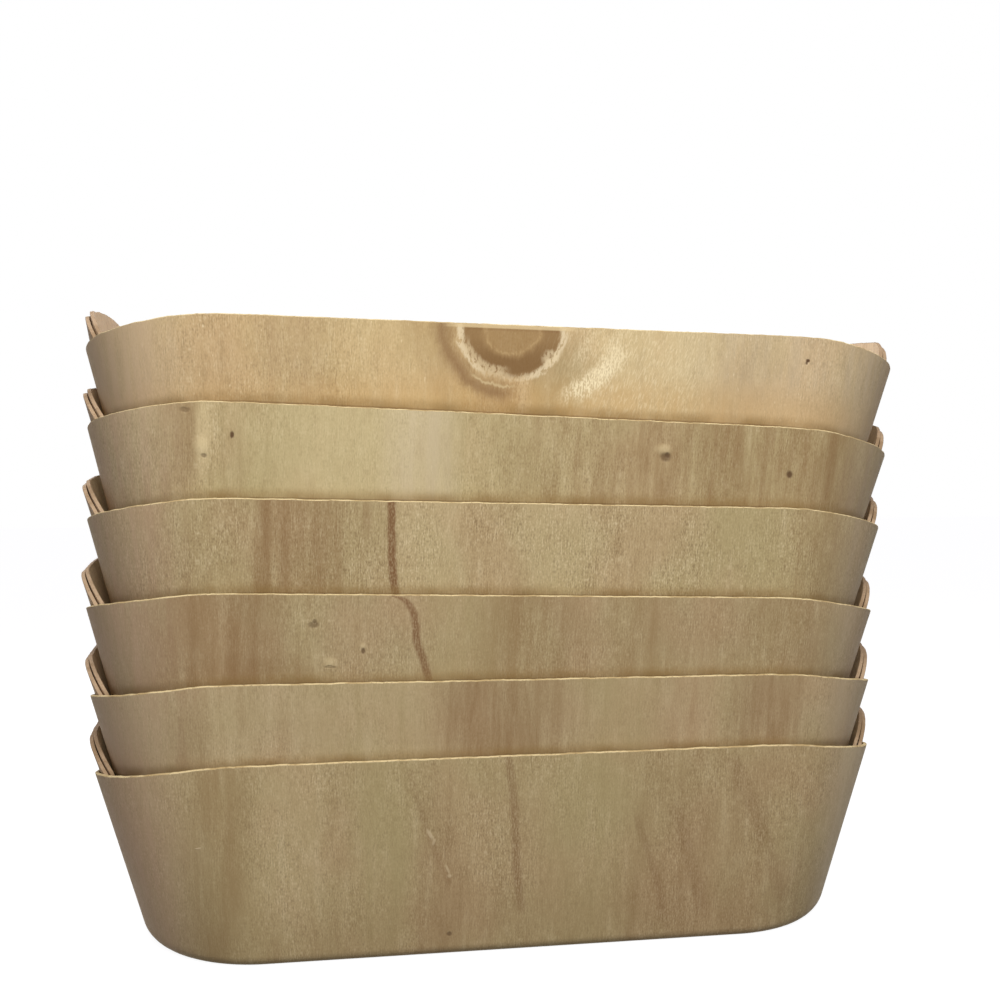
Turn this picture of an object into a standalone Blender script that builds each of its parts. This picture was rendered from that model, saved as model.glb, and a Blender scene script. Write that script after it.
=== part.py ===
"""A nested stack of six berry baskets, each moulded from four thin sheets of wood veneer.

The stack stands on z = 0. X runs along the baskets, the front faces -Y and +Z is up. Lengths are in metres.
Each basket has a wall sheet (front wall, floor and back wall in one, with four flaps round the ends), a lining strip
laid lengthwise inside it, and one more ply on each end, between the lining strip and the flaps.
"""

import math

import bmesh
import bpy
from mathutils import Matrix, Vector

# One basket, over its outer faces
RIM_LENGTH = 0.220
RIM_WIDTH = 0.120
BASKET_HEIGHT = 0.054
END_FLARE = 0.0127
FRONT_FLARE = 0.0048
CORNER_ALONG = 0.0336
CORNER_ACROSS = 0.0352
END_BEND_RADIUS = 0.006
FRONT_FOLD_RADIUS = 0.003

# The veneer and what keeps its layers apart
VENEER = 0.001
GLUE_GAP = 0.0003

# The wall sheet's flaps
RIM_DROOP = 0.0074
RIM_DROOP_MIDDLE = 0.0101
DROOP_START_SHARE = 0.13
FLAP_LIFT = 0.0017
FLAP_GAP = 0.0012

# The lining strip and the end plies
STRIP_SIDE_GAP = 0.0006
PLY_EDGE_SHARE = 0.68
EAR_START_DROP = 0.0048
EAR_SHOULDER_RISE = 0.0038
EAR_CROWN_RISE = 0.0054
EAR_STEP = 0.0012

# How far each basket's ears lean out, as a share of their height over the flaps, from the lowest basket up
EAR_LEAN_SHARES = (0.04, 0.04, 0.04, 0.04, 0.04, -0.08)

# How the baskets sit in one another, from the lowest pair up
NEST_CLEARANCE = 0.0006
NEST_CLEARANCE_SHARES = (1.48, 2.14, 2.76, 2.23, 2.19)
LEAN_DROP = 0.0049
LEAN_SHARES = (0, 0.24, 0.63, 0.61, 1, 0.63)
SIDE_PLAY = 0.0004
SIDE_PLAY_SHARES = (-1.27, -1.72, 2.09, 0.19, 0.7)

# How finely the sheets are bent
CORNER_STEPS = 4
EAR_STEPS = 3
END_STEPS = 2
BEND_STEPS = 5
FOLD_STEPS = 2
PLY_START_STEP = 3

# Worked out from the sizes above
END_SLOPE = math.atan2(END_FLARE, BASKET_HEIGHT)
FRONT_SLOPE = math.atan2(FRONT_FLARE, BASKET_HEIGHT)
LAYER = VENEER + GLUE_GAP
END_THICKNESS = 3 * VENEER + 2 * GLUE_GAP
BEND_TURN = math.pi / 2 - END_SLOPE
FOLD_TURN = math.pi / 2 - FRONT_SLOPE
PLY_START_TURN = BEND_TURN * PLY_START_STEP / BEND_STEPS
PLY_START_HEIGHT = END_BEND_RADIUS * (1 - math.cos(PLY_START_TURN))

# Where a quarter of the mould's plan changes: mid-front, front corner, end corner and mid-end
MID_FRONT, FRONT_CORNER, END_CORNER, MID_END = range(4)
PLY_EDGE = FRONT_CORNER + PLY_EDGE_SHARE

VENEER_COLOUR = (0.66, 0.51, 0.31, 1)
LINING_COLOUR = (0.74, 0.59, 0.40, 1)
END_PLY_COLOUR = (0.58, 0.44, 0.28, 1)
VENEER_ROUGHNESS = 0.62


def smooth_step(share):
    """An S-shaped rise from 0 to 1."""
    share = min(max(share, 0), 1)
    return share * share * (3 - 2 * share)


def bend_inset(height, radius, slope):
    """How far a wall's bend into the floor lies inside the wall's own straight line."""
    radius = max(radius, 0)
    if height >= radius * (1 - math.sin(slope)):
        return 0
    reach = math.sqrt(radius ** 2 - (radius - height) ** 2)
    return (height - radius) * math.tan(slope) + radius / math.cos(slope) - reach


def mould_point(turn, height, depth):
    """A point of the quarter at +x and -y, at a depth inside the mould's outer surface.

    The turn runs from MID_FRONT along the front wall, round the corner and along the end to MID_END.
    """
    end_bend = bend_inset(height - depth, END_BEND_RADIUS - depth, END_SLOPE)
    front_fold = bend_inset(height - depth, FRONT_FOLD_RADIUS - depth, FRONT_SLOPE)
    below_rim = BASKET_HEIGHT - height
    half_length = RIM_LENGTH / 2 - below_rim * math.tan(END_SLOPE) - depth / math.cos(END_SLOPE)
    half_width = RIM_WIDTH / 2 - below_rim * math.tan(FRONT_SLOPE) - depth / math.cos(FRONT_SLOPE)
    centre_x = half_length - CORNER_ALONG + depth
    centre_y = half_width - CORNER_ACROSS + depth
    along = CORNER_ALONG - depth - end_bend
    across = CORNER_ACROSS - depth - front_fold
    if turn <= FRONT_CORNER:
        return Vector((centre_x * turn, -centre_y - across, height))
    if turn >= END_CORNER:
        return Vector((centre_x + along, -centre_y * (MID_END - turn), height))
    angle = (turn - FRONT_CORNER) * math.pi / 2
    return Vector((centre_x + along * math.sin(angle), -centre_y - across * math.cos(angle), height))


def spaced(first, last, steps):
    """Values from the first to the last in equal steps."""
    return [first + (last - first) * step / steps for step in range(steps + 1)]


def front_turns():
    """The columns from the middle of the front to where the plies' edges lie."""
    return [MID_FRONT, FRONT_CORNER - DROOP_START_SHARE] + spaced(FRONT_CORNER, PLY_EDGE, CORNER_STEPS)


def ply_turns():
    """The columns from the plies' edges to the middle of the end."""
    return spaced(PLY_EDGE, END_CORNER, EAR_STEPS) + spaced(END_CORNER, MID_END, END_STEPS)[1:]


def rim_height(turn):
    """The wall sheet's top edge, which starts to droop just before the corner and goes on round to the end."""
    started = turn - FRONT_CORNER + DROOP_START_SHARE
    if started <= 0:
        return BASKET_HEIGHT
    if started < 2 * DROOP_START_SHARE:
        return BASKET_HEIGHT - RIM_DROOP * started ** 2 / (4 * DROOP_START_SHARE)
    if turn <= END_CORNER:
        return BASKET_HEIGHT - RIM_DROOP * (turn - FRONT_CORNER)
    along_end = 1 - (MID_END - turn) ** 2
    return BASKET_HEIGHT - RIM_DROOP - (RIM_DROOP_MIDDLE - RIM_DROOP) * along_end


def ear_height(turn):
    """The top edge of an end's plies: it leaves the flap's rim and crowns over the middle of the end."""
    if turn <= END_CORNER:
        rise = math.sin((turn - PLY_EDGE) / (END_CORNER - PLY_EDGE) * math.pi / 2)
        return BASKET_HEIGHT - EAR_START_DROP + (EAR_START_DROP + EAR_SHOULDER_RISE) * rise
    along_end = 1 - (MID_END - turn) ** 2
    return BASKET_HEIGHT + EAR_SHOULDER_RISE + (EAR_CROWN_RISE - EAR_SHOULDER_RISE) * along_end


def ear_point(turn, height, depth, lean):
    """A point of a ply at an end, which leans out or in over the flap's rim."""
    point = mould_point(turn, height, depth)
    outwards = min(turn, END_CORNER) * math.pi / 2
    reach = lean * max(height - rim_height(turn), 0)
    return point + Vector((-math.cos(outwards), -math.sin(outwards), 0)) * reach


def veneer_grid(columns, rows, place):
    """An open sheet: a flat grid whose every point is laid on the mould by place(column, row)."""
    sheet = bmesh.new()
    grid = bmesh.ops.create_grid(sheet, x_segments=len(columns) - 1, y_segments=len(rows) - 1, size=1)
    for vertex in grid["verts"]:
        column = columns[round((vertex.co.x + 1) / 2 * (len(columns) - 1))]
        row = rows[round((vertex.co.y + 1) / 2 * (len(rows) - 1))]
        vertex.co = place(column, row)
    return sheet


def finished_mesh(sheet, name):
    mesh = bpy.data.meshes.new(name)
    sheet.to_mesh(mesh)
    sheet.free()
    mesh.shade_smooth()
    return mesh


def wall_sheet_mesh():
    """A quarter of the wall sheet: half of the front wall, a flap and a quarter of the floor."""
    fold_rows = [FRONT_FOLD_RADIUS * (1 - math.cos(turn)) for turn in spaced(0, FOLD_TURN, FOLD_STEPS)]
    bend_rows = [END_BEND_RADIUS * (1 - math.cos(turn)) for turn in spaced(0, BEND_TURN, BEND_STEPS)]
    clear_rows = [row for row in bend_rows if min(abs(row - fold) for fold in fold_rows) > VENEER / 4]
    rows = sorted(fold_rows + clear_rows) + [BASKET_HEIGHT]
    last_turn = MID_END - FLAP_GAP / (RIM_WIDTH - 2 * CORNER_ACROSS)
    columns = front_turns() + [min(turn, last_turn) for turn in ply_turns()[1:]]

    def place(turn, row):
        if row == BASKET_HEIGHT:
            return mould_point(turn, rim_height(turn), 0)
        lift = FLAP_LIFT * max(min(turn, END_CORNER) - FRONT_CORNER, 0) ** 2
        under_ply = max(1 - row / PLY_START_HEIGHT, 0)
        return mould_point(turn, row + lift * under_ply, 0)

    sheet = veneer_grid(columns, rows, place)
    fold_line = [edge for edge in sheet.edges if all(end.co.z <= 0 for end in edge.verts)]
    floor = bmesh.ops.extrude_edge_only(sheet, edges=fold_line)
    for item in floor["geom"]:
        if isinstance(item, bmesh.types.BMVert):
            item.co.y = 0
    return finished_mesh(sheet, "wall_sheet")


def strip_depth(turn):
    """How deep the lining strip lies in the mould: one layer on the floor, two behind the end ply."""
    return LAYER + LAYER * smooth_step(turn / PLY_START_TURN)


def bend_height(turn, depth):
    return depth + (END_BEND_RADIUS - depth) * (1 - math.cos(turn))


def ear_rows():
    """The rows of a ply over its bend: where it leaves the flap's rim, and its top edge."""
    return [("foot", MID_END), ("top", MID_END)]


def lining_strip_mesh(lean):
    """A quarter of the lining strip: a quarter of the floor, the bend and half of one end with its ear."""
    bend_rows = [("bend", turn) for turn in spaced(0, BEND_TURN, BEND_STEPS)]
    floor_rows = [("floor", turn) for turn in front_turns()[:-1]]
    rows = floor_rows + bend_rows + ear_rows()
    edge = mould_point(PLY_EDGE, LAYER, LAYER)

    def place(turn, row):
        kind, bend = row
        top = ear_height(turn)
        if kind == "foot":
            return ear_point(turn, min(rim_height(turn), top - VENEER), 2 * LAYER, lean)
        if kind == "top":
            return ear_point(turn, top, 2 * LAYER, lean)
        if kind == "bend":
            depth = strip_depth(bend)
            return mould_point(turn, bend_height(bend, depth), depth)
        point = mould_point(turn, LAYER, LAYER)
        side = mould_point(bend, LAYER, LAYER)
        side.y += STRIP_SIDE_GAP
        corner_x = mould_point(FRONT_CORNER, LAYER, LAYER).x
        point.y *= side.y / edge.y
        if side.x <= corner_x:
            point.x = side.x
        else:
            point.x = corner_x + (point.x - corner_x) * (side.x - corner_x) / (edge.x - corner_x)
        return point

    return finished_mesh(veneer_grid(ply_turns(), rows, place), "lining_strip")


def end_ply_mesh(lean):
    """Half of an end's outer ply, at +x."""
    bend_rows = [("bend", turn) for turn in spaced(0, BEND_TURN, BEND_STEPS)[PLY_START_STEP:]]

    def place(turn, row):
        kind, bend = row
        top = ear_height(turn) - EAR_STEP
        if kind == "foot":
            return ear_point(turn, min(rim_height(turn), top - VENEER), LAYER, lean)
        if kind == "top":
            return ear_point(turn, top, LAYER, lean)
        return mould_point(turn, bend_height(bend, LAYER), LAYER)

    return finished_mesh(veneer_grid(ply_turns(), bend_rows + ear_rows(), place), "end_ply")


def veneer_material(name, colour):
    material = bpy.data.materials.new(name)
    material.use_nodes = True
    shader = material.node_tree.nodes["Principled BSDF"]
    shader.inputs["Base Color"].default_value = colour
    shader.inputs["Roughness"].default_value = VENEER_ROUGHNESS
    return material


def add_piece(name, mesh, colour, basket, collection, both_ends, turned=False):
    """One sheet of one basket: its mesh is mirrored to its full shape and thickened inwards."""
    piece = bpy.data.objects.new(name, mesh)
    collection.objects.link(piece)
    piece.parent = basket
    if turned:
        piece.rotation_euler.z = math.pi
    if not mesh.materials:
        mesh.materials.append(None)
    piece.material_slots[0].link = "OBJECT"
    piece.material_slots[0].material = veneer_material(name, colour)
    mirror = piece.modifiers.new("Mirror", "MIRROR")
    mirror.use_axis = (both_ends, True, False)
    mirror.merge_threshold = GLUE_GAP / 10
    thicken = piece.modifiers.new("Veneer", "SOLIDIFY")
    thicken.thickness = VENEER
    thicken.offset = -1
    thicken.use_even_offset = True
    return piece


def nest_places():
    """The place of each basket's floor centre and its lean, from the lowest basket up."""
    drops = [LEAN_DROP * share for share in LEAN_SHARES]
    leans = [math.asin(drop / (RIM_LENGTH / 2)) for drop in drops]
    places = [(Vector((0, 0, 0)), leans[0])]
    rim_centre = Vector((0, 0, BASKET_HEIGHT))
    for index, share in enumerate(NEST_CLEARANCE_SHARES):
        clearance = NEST_CLEARANCE * share
        rise_at_ends = (END_THICKNESS + clearance) / math.sin(END_SLOPE)
        rise_at_front = (VENEER + NEST_CLEARANCE) / math.sin(FRONT_SLOPE)
        rise = max(rise_at_ends, rise_at_front)
        lean = leans[index + 1]
        shared_middle = (BASKET_HEIGHT + rise) / 2
        centring = math.tan(leans[index]) * rise + math.tan(lean - leans[index]) * shared_middle
        rim_centre = rim_centre + Vector((centring + SIDE_PLAY * SIDE_PLAY_SHARES[index], 0, rise))
        floor_centre = rim_centre + Matrix.Rotation(lean, 3, "Y") @ Vector((0, 0, -BASKET_HEIGHT))
        places.append((floor_centre, lean))
    return places


def middle_of_length(places, meshes):
    """The x of the middle of the stack, from the sheets that reach furthest out at the ends."""
    reach = []
    for (floor_centre, lean), mesh in zip(places, meshes):
        turned = Matrix.Rotation(lean, 3, "Y")
        for vertex in mesh.vertices:
            for side in (-1, 1):
                outer = Vector((side * vertex.co.x, vertex.co.y, vertex.co.z))
                reach.append(floor_centre.x + (turned @ outer).x)
    return (min(reach) + max(reach)) / 2


def build():
    for old in list(bpy.data.objects):
        bpy.data.objects.remove(old)
    collection = bpy.data.collections.new("berry_basket_stack")
    bpy.context.scene.collection.children.link(collection)
    wall_sheet = wall_sheet_mesh()
    lining_strips = [lining_strip_mesh(lean) for lean in EAR_LEAN_SHARES]
    end_plies = [end_ply_mesh(lean) for lean in EAR_LEAN_SHARES]
    places = nest_places()
    middle = Vector((middle_of_length(places, end_plies), 0, 0))
    for number, (floor_centre, lean) in enumerate(places, start=1):
        name = f"basket{number}"
        basket = bpy.data.objects.new(f"{name}_place", None)
        collection.objects.link(basket)
        basket.location = floor_centre - middle
        basket.rotation_euler.y = lean
        add_piece(f"{name}_wall_sheet", wall_sheet, VENEER_COLOUR, basket, collection, True)
        add_piece(f"{name}_lining_strip", lining_strips[number - 1], LINING_COLOUR, basket, collection, True)
        add_piece(f"{name}_right_end_ply", end_plies[number - 1], END_PLY_COLOUR, basket, collection, False)
        add_piece(f"{name}_left_end_ply", end_plies[number - 1], END_PLY_COLOUR, basket, collection, False, True)


build()
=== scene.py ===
import math

import bmesh
import bpy
from mathutils import Matrix, Vector, noise


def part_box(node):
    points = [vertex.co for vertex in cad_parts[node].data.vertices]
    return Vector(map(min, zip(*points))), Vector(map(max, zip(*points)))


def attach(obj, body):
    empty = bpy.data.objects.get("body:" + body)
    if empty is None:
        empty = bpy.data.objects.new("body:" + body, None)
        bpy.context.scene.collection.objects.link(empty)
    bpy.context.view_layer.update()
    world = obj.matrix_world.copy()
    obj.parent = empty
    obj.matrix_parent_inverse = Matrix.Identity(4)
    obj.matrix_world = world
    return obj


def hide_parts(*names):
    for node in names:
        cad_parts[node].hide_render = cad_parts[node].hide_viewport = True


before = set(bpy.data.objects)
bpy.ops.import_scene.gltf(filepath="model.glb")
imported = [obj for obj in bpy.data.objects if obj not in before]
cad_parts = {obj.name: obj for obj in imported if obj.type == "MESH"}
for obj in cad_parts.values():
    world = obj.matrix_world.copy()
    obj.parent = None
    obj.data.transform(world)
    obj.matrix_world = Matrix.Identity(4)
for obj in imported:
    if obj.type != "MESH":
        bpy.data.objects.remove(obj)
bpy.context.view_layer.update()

# Six berry baskets of moulded wood veneer, nested in a stack. All sizes are in metres.
# Each basket: a wall sheet, a lining strip laid lengthwise in it, and one more ply on each end.

mould = {
    "rimLength": 0.220,
    "rimWidth": 0.120,
    "height": 0.054,
    "endFlare": 0.0127,
    "frontFlare": 0.0048,
    "cornerAlong": 0.0336,
    "cornerAcross": 0.0352,
    "endBendRadius": 0.006,
    "frontFoldRadius": 0.003,
    "veneer": 0.001,
    "glueGap": 0.0003,
}

nest = {
    "clearance": 0.0006,
    "clearanceShares": (1.48, 2.14, 2.76, 2.23, 2.19),  # from the lowest pair up
    "leanDrop": 0.0049,
    "leanShares": (0, 0.24, 0.63, 0.61, 1, 0.63),
    "sidePlay": 0.0004,
    "sidePlayShares": (-1.27, -1.72, 2.09, 0.19, 0.7),
}

endSlope = math.atan2(mould["endFlare"], mould["height"])
frontSlope = math.atan2(mould["frontFlare"], mould["height"])
layer = mould["veneer"] + mould["glueGap"]
bendTurn = math.pi / 2 - endSlope
foldTurn = math.pi / 2 - frontSlope

# a quarter of the mould's plan: middle of the front, front corner, end corner, middle of the end
midFront, frontCorner, endCorner, midEnd = range(4)
plyEdge = 1.68
plyStartTurn = bendTurn * 0.6


def smoothStep(share):
    share = min(max(share, 0), 1)
    return share * share * (3 - 2 * share)


def evenSteps(first, last, steps):
    return [first + (last - first) * step / steps for step in range(steps + 1)]


def bendInset(height, radius, slope):
    # how far the bend into the floor lies inside the wall's straight line
    if height >= radius * (1 - math.sin(slope)):
        return 0
    reach = math.sqrt(max(radius ** 2 - (radius - height) ** 2, 0))
    return (height - radius) * math.tan(slope) + radius / math.cos(slope) - reach


def mouldPoint(turn, height, depth):
    # a point of the quarter at +x and -y, at a depth inside the mould's outer surface
    endBend = bendInset(height - depth, mould["endBendRadius"] - depth, endSlope)
    frontFold = bendInset(height - depth, mould["frontFoldRadius"] - depth, frontSlope)
    belowRim = mould["height"] - height
    centreX = mould["rimLength"] / 2 - belowRim * math.tan(endSlope) - depth / math.cos(endSlope)
    centreX += depth - mould["cornerAlong"]
    centreY = mould["rimWidth"] / 2 - belowRim * math.tan(frontSlope) - depth / math.cos(frontSlope)
    centreY += depth - mould["cornerAcross"]
    along = mould["cornerAlong"] - depth - endBend
    across = mould["cornerAcross"] - depth - frontFold
    if turn <= frontCorner:
        return Vector((centreX * turn, -centreY - across, height))
    if turn >= endCorner:
        return Vector((centreX + along, -centreY * (midEnd - turn), height))
    angle = (turn - frontCorner) * math.pi / 2
    return Vector((centreX + along * math.sin(angle), -centreY - across * math.cos(angle), height))


def nestPlaces():
    # each basket's place: the middle of its floor and its lean, from the lowest basket up
    leans = [math.asin(nest["leanDrop"] * share / (mould["rimLength"] / 2)) for share in nest["leanShares"]]
    endThickness = 3 * mould["veneer"] + 2 * mould["glueGap"]
    places = [(Vector((0, 0, 0)), leans[0])]
    rimCentre = Vector((0, 0, mould["height"]))
    for index, share in enumerate(nest["clearanceShares"]):
        riseAtEnds = (endThickness + nest["clearance"] * share) / math.sin(endSlope)
        riseAtFront = (mould["veneer"] + nest["clearance"]) / math.sin(frontSlope)
        rise = max(riseAtEnds, riseAtFront)
        lean = leans[index + 1]
        sharedMiddle = (mould["height"] + rise) / 2
        centring = math.tan(leans[index]) * rise + math.tan(lean - leans[index]) * sharedMiddle
        play = nest["sidePlay"] * nest["sidePlayShares"][index]
        rimCentre = rimCentre + Vector((centring + play, 0, rise))
        floorCentre = rimCentre + Matrix.Rotation(lean, 3, "Y") @ Vector((0, 0, -mould["height"]))
        places.append((floorCentre, lean))
    return places


def placeMatrices():
    # the stack is centred on its packed lowest wall sheet, which stands without a lean
    low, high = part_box("basket1_wall_sheet")
    middle = (low[0] + high[0]) / 2
    return [Matrix.Translation(spot + Vector((middle, 0, 0))) @ Matrix.Rotation(lean, 4, "Y")
            for spot, lean in nestPlaces()]


def newGrid(columns, rows):
    # a flat grid, with the number of its column and row kept at every point
    sheet = bmesh.new()
    columnLayer = sheet.verts.layers.int.new("column")
    rowLayer = sheet.verts.layers.int.new("row")
    made = bmesh.ops.create_grid(sheet, x_segments=columns - 1, y_segments=rows - 1, size=1)
    for vertex in made["verts"]:
        vertex[columnLayer] = round((vertex.co.x + 1) / 2 * (columns - 1))
        vertex[rowLayer] = round((vertex.co.y + 1) / 2 * (rows - 1))
    return sheet, columnLayer, rowLayer


def addObject(name, data):
    made = bpy.data.objects.new(name, data)
    bpy.context.scene.collection.objects.link(made)
    return made


edgeWear = {
    "rounding": 0.00018,
    "segments": 2,
    "sharpAngle": 50,
    "raggedDepth": 0.00022,
    "coarseWaves": 230,  # per metre along the edge
    "fineWaves": 900,
}
cutEdgeSlot = 1  # a sheet's second material is its cut edge
farFromEdge = 0.1  # the edge distance of the floor
basketMiddle = 0.03  # height of the middle that the faces look away from


def ragged(along, seed):
    # a torn fibrous edge: only ever cut below its line
    coarse = noise.noise(Vector((along * edgeWear["coarseWaves"], seed, 0)))
    fine = noise.noise(Vector((along * edgeWear["fineWaves"], seed, 5)))
    return -edgeWear["raggedDepth"] * min(max(0.5 + 0.6 * coarse + 0.5 * fine, 0), 1)


def writeSheetMap(sheet, flat):
    # the UV map in metres: u along the basket, v up the grain of the wall sheet
    uvLayer = sheet.loops.layers.uv.new("sheet")
    for face in sheet.faces:
        for loop in face.loops:
            loop[uvLayer].uv = flat[loop.vert.index]


def finishSheet(name, sheet, seat, materials):
    bmesh.ops.recalc_face_normals(sheet, faces=sheet.faces)
    if outwardShare(sheet) < 0:
        bmesh.ops.reverse_faces(sheet, faces=sheet.faces)
    bmesh.ops.transform(sheet, matrix=seat, verts=sheet.verts)
    for face in sheet.faces:
        face.smooth = True
    mesh = bpy.data.meshes.new(name)
    sheet.to_mesh(mesh)
    sheet.free()
    for material in materials:
        mesh.materials.append(material)
    piece = addObject(name, mesh)
    thicken = piece.modifiers.new("veneer thickness", "SOLIDIFY")
    thicken.thickness = mould["veneer"]
    thicken.offset = -1
    thicken.use_even_offset = True
    thicken.material_offset_rim = cutEdgeSlot
    soften = piece.modifiers.new("worn cut edge", "BEVEL")
    soften.width = edgeWear["rounding"]
    soften.segments = edgeWear["segments"]
    soften.limit_method = "ANGLE"
    soften.angle_limit = math.radians(edgeWear["sharpAngle"])
    soften.material = cutEdgeSlot
    soften.use_clamp_overlap = False
    soften.harden_normals = True
    return piece


def outwardShare(sheet):
    # above zero when the faces look away from the middle of the basket
    total = 0
    for face in sheet.faces:
        middle = face.calc_center_median()
        total += face.normal.dot(Vector((middle.x, middle.y, middle.z - basketMiddle))) * face.calc_area()
    return total


wallSheet = {
    "frontSteps": 88,
    "cornerSteps": 54,
    "endSteps": 34,
    "foldSteps": 5,
    "bendSteps": 7,
    "wallSteps": 14,
    "floorSteps": 14,
    "edgeRows": (0.0022, 0.0009, 0),
    "rimDroop": 0.0074,
    "rimDroopMiddle": 0.0101,
    "droopStart": 0.13,
    "flapLift": 0.0017,
    "flapGap": 0.0012,
    "cutLeeway": 0.001,
    "warp": 0.00028,
    "warpFoot": 0.006,
    "warpRise": 0.02,
    "warpEndTurn": 0.8,
    "warpFade": 0.5,
    "slowWaves": (17, 14),  # per metre along the wall and up it
    "quickWaves": (55, 20),
}


def rimHeight(turn):
    # the droop starts a little before the corner, without a kink
    droop, start = wallSheet["rimDroop"], wallSheet["droopStart"]
    started = turn - frontCorner + start
    if started <= 0:
        return mould["height"]
    if started < 2 * start:
        return mould["height"] - droop * started ** 2 / (4 * start)
    if turn <= endCorner:
        return mould["height"] - droop * (turn - frontCorner)
    alongEnd = 1 - (midEnd - turn) ** 2
    return mould["height"] - droop - (wallSheet["rimDroopMiddle"] - droop) * alongEnd


def wallRows():
    # from the fold up: low rows at fixed heights, shares of the straight wall, then rows near the cut edge
    fold = [mould["frontFoldRadius"] * (1 - math.cos(turn))
            for turn in evenSteps(0, foldTurn, wallSheet["foldSteps"])]
    bendTop = mould["endBendRadius"] * (1 - math.cos(bendTurn))
    bend = evenSteps(fold[-1], bendTop, wallSheet["bendSteps"])[1:]
    rows = [("low", height) for height in fold + bend]
    rows += [("wall", share) for share in evenSteps(0, 1, wallSheet["wallSteps"])[1:-1]]
    rows += [("edge", distance) for distance in wallSheet["edgeRows"]]
    return rows, bendTop


def wallHeight(turn, row, bendTop):
    kind, value = row
    if kind == "edge":
        return rimHeight(turn) - value
    if kind == "wall":
        top = rimHeight(turn) - wallSheet["edgeRows"][0]
        return bendTop + (top - bendTop) * value
    plyStart = mould["endBendRadius"] * (1 - math.cos(plyStartTurn))
    lift = wallSheet["flapLift"] * max(min(turn, endCorner) - frontCorner, 0) ** 2
    return value + lift * max(1 - value / plyStart, 0)


def wallWave(u, height, waves, seed):
    return 0.5 + 0.5 * noise.noise(Vector((u * waves[0], height * waves[1], seed)))


def frontWarp(u, height, turn, side, seed):
    # the free front and back walls stand in a little, in slow waves, between the fold and the corners
    slow = wallWave(u, height, wallSheet["slowWaves"], seed * 7.3 + side * 31)
    quick = wallWave(u, height, wallSheet["quickWaves"], seed * 3.1 + side * 17)
    share = smoothStep((height - wallSheet["warpFoot"]) / wallSheet["warpRise"])
    share *= 1 - smoothStep((turn - wallSheet["warpEndTurn"]) / wallSheet["warpFade"])
    return wallSheet["warp"] * share * (0.75 * slow + 0.25 * quick)


def buildWallSheet(number, seat, materials):
    seed = number * 11.7
    quarter = evenSteps(midFront, frontCorner, wallSheet["frontSteps"])
    quarter += evenSteps(frontCorner, endCorner, wallSheet["cornerSteps"])[1:]
    lastTurn = midEnd - wallSheet["flapGap"] / (mould["rimWidth"] - 2 * mould["cornerAcross"])
    quarter += evenSteps(endCorner, lastTurn, wallSheet["endSteps"])[1:]
    turns = [-turn for turn in reversed(quarter[1:])] + quarter
    upRows, bendTop = wallRows()
    floorShares = evenSteps(1, -1, 2 * wallSheet["floorSteps"])[1:-1]
    rows = [(1, row) for row in reversed(upRows)] + [(0, share) for share in floorShares]
    rows += [(-1, row) for row in upRows]
    sheet, columnLayer, rowLayer = newGrid(len(turns), len(rows))

    # the blank is cut: beside the floor there is no veneer under the flaps
    foldRows = (len(upRows) - 1, len(rows) - len(upRows))
    spare = []
    for face in sheet.faces:
        middleRow = sum(vertex[rowLayer] for vertex in face.verts) / 4
        reach = max(abs(turns[vertex[columnLayer]]) for vertex in face.verts)
        if foldRows[0] < middleRow < foldRows[1] and reach > frontCorner + wallSheet["cutLeeway"]:
            spare.append(face)
    bmesh.ops.delete(sheet, geom=spare, context="FACES")

    flat = flatMap(turns, rows, bendTop)
    closeness = sheet.verts.layers.float.new("edgeDistance")
    floorY = mouldPoint(midFront, 0, 0).y
    sheet.verts.index_update()
    places = {}
    for vertex in sheet.verts:
        turn = turns[vertex[columnLayer]]
        side, row = rows[vertex[rowLayer]]
        u, v = flat[vertex[rowLayer]][vertex[columnLayer]]
        places[vertex.index] = (u, v)
        if side == 0:
            point = mouldPoint(abs(turn), 0, 0)
            point.y = -floorY * row
            vertex[closeness] = farFromEdge
        else:
            height = wallHeight(abs(turn), row, bendTop)
            vertex[closeness] = rimHeight(abs(turn)) - height
            if row == ("edge", 0):
                height += ragged(u, seed + side * 3)
            point = mouldPoint(abs(turn), height, 0)
            point.y += frontWarp(u, height, abs(turn), side, seed)
            point.y *= -side
        point.x = math.copysign(point.x, turn)
        vertex.co = point
    writeSheetMap(sheet, places)
    return finishSheet(f"basket{number}_moulded_wall", sheet, seat, materials)


def flatMap(turns, rows, bendTop):
    # how far along the sheet each column lies at each row's height, and how far up from the floor's middle
    flat = []
    middle = len(turns) // 2
    for side, row in rows:
        distances = [0.0] * len(turns)
        heights = [0.0 if side == 0 else wallHeight(abs(turn), row, bendTop) for turn in turns]
        last = None
        for column in range(middle, len(turns)):
            point = mouldPoint(turns[column], heights[column], 0)
            if last is not None:
                step = math.hypot(point.x - last.x, point.y - last.y)
                distances[column] = distances[column - 1] + step
                distances[2 * middle - column] = -distances[column]
            last = point
        share = row if side == 0 else side
        flat.append([(u, -upSheet(height) * share) for u, height in zip(distances, heights)])
    return flat


def upSheet(height):
    return -mouldPoint(midFront, height, 0).y + height


liningStrip = {
    "plySteps": 26,
    "endSteps": 26,
    "floorSteps": 44,
    "cornerSteps": 12,
    "bendSteps": 12,
    "earSteps": 18,
    "sideGap": 0.0006,
    "earStartDrop": 0.0048,
    "earShoulderRise": 0.0038,
    "earCrownRise": 0.0054,
    "earLeans": (0.04, 0.04, 0.04, 0.04, 0.04, -0.08),  # outwards, as a share of the height over the flap
}

endPly = {"bendSteps": 6, "earStep": 0.0012, "mapShift": 0.3}


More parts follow.
